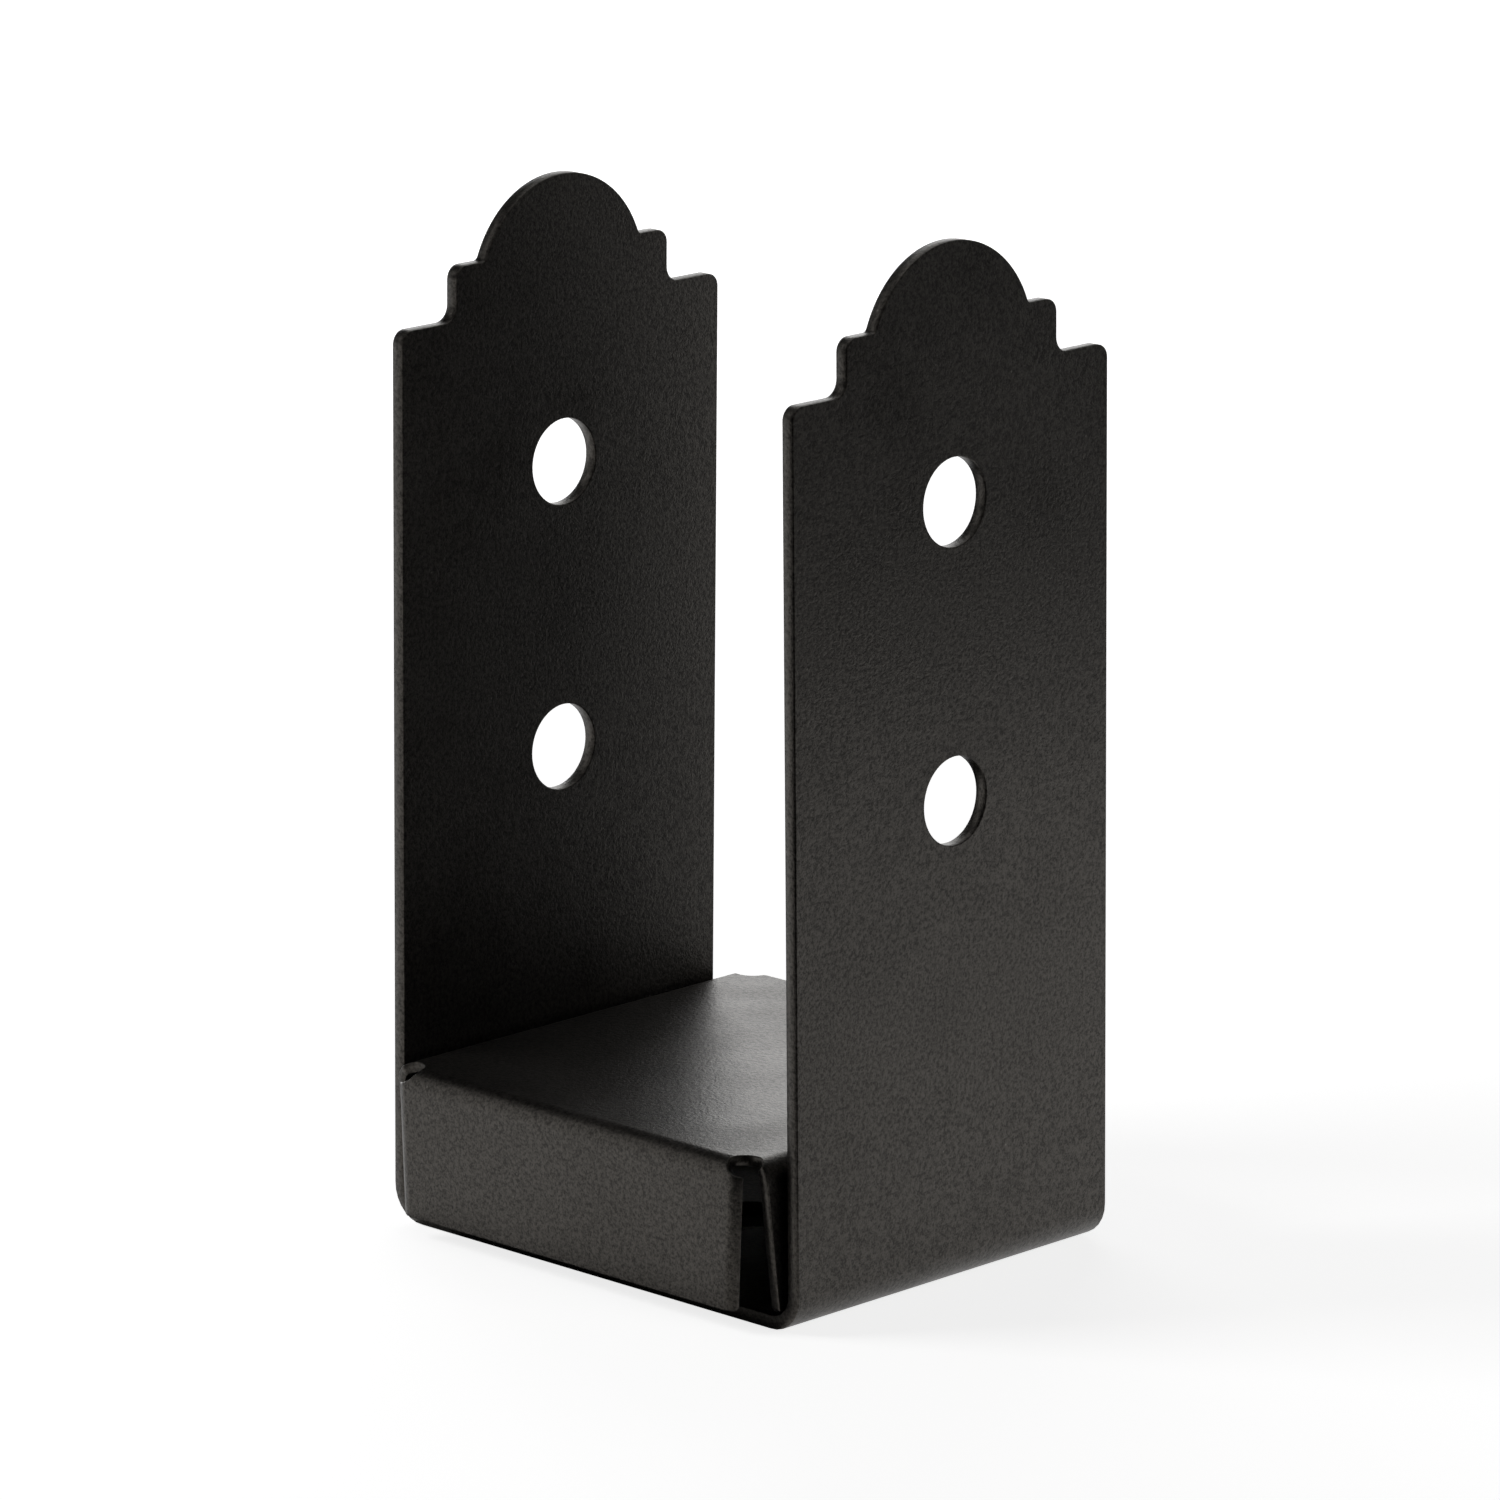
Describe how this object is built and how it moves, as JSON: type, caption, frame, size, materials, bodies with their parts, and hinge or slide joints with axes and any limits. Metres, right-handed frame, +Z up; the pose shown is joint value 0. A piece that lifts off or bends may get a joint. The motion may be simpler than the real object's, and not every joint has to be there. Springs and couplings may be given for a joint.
{
  "type": "post base",
  "caption": "Bolted U-shaped base that holds the foot of a square timber post, with a loose tray that lifts the post off the concrete.",
  "frame": {"origin": "on the ground, under the middle of the strap's base", "axes": "+Z up along the post, X across the pocket from flange to flange, Y along the strap's width"},
  "size_m": [0.0968, 0.0898, 0.1791],
  "materials": {
    "powder_coat": "fine textured black powder coat on sheet steel",
    "powder_coat_tray": "fine textured black powder coat on thinner sheet steel"
  },
  "bodies": {
    "root": {"u_strap": "powder_coat", "standoff_tray": "powder_coat_tray"}
  },
  "joints": []
}
